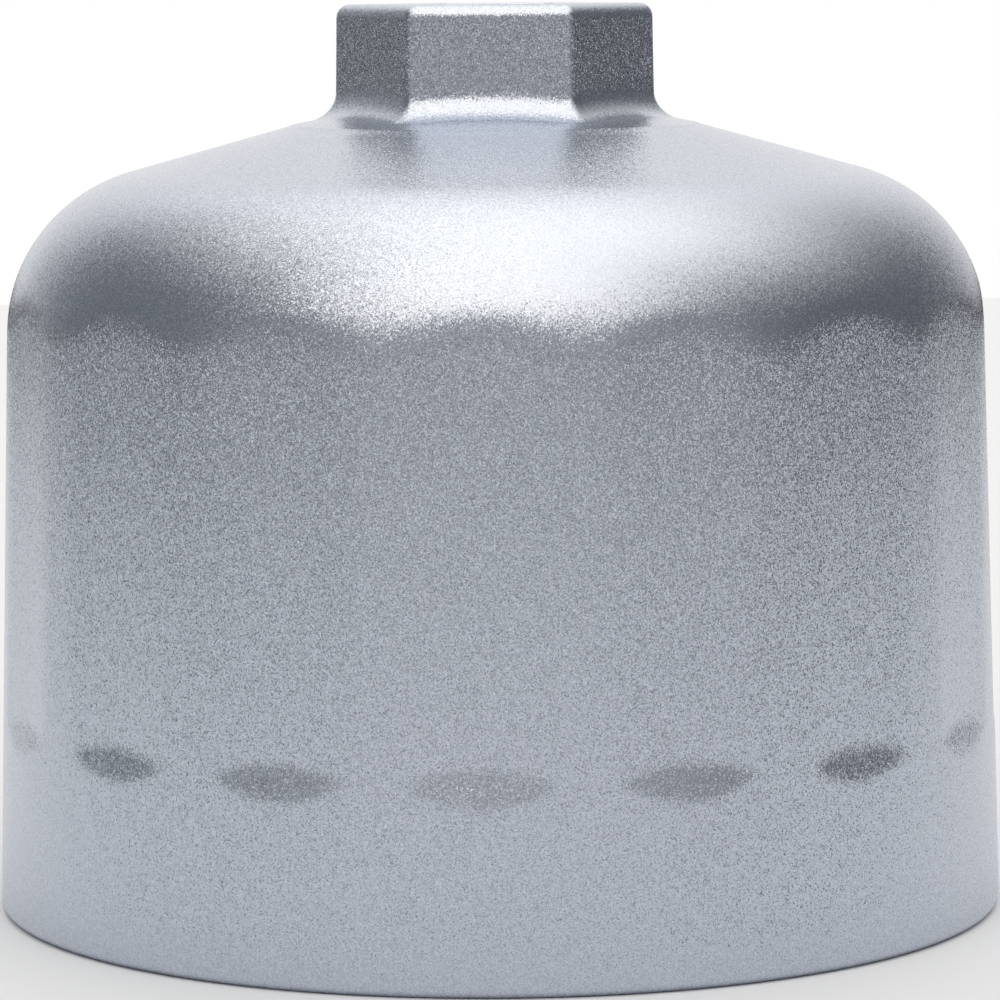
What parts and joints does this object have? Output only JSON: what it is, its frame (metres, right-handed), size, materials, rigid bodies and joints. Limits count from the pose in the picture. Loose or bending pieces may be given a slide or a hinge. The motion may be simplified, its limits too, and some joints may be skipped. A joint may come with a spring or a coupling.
{
  "type": "oil filter wrench",
  "caption": "Cup-type wrench with a fluted socket for a cartridge oil filter cap, a domed crown, and a hex boss with a square drive hole.",
  "frame": {"origin": "centre of the open end's plane, which the wrench stands on", "axes": "+Z along the turning axis, from the open end to the hex; -Y faces a flat of the hex and a flat of the socket"},
  "size_m": [0.0978, 0.0978, 0.0874],
  "materials": {
    "forged_aluminium": "bead-blasted, satin, silver-grey"
  },
  "bodies": {
    "root": {"rim_band": "forged_aluminium", "socket_wall": "forged_aluminium", "crown": "forged_aluminium", "drive_hub": "forged_aluminium"}
  },
  "joints": []
}
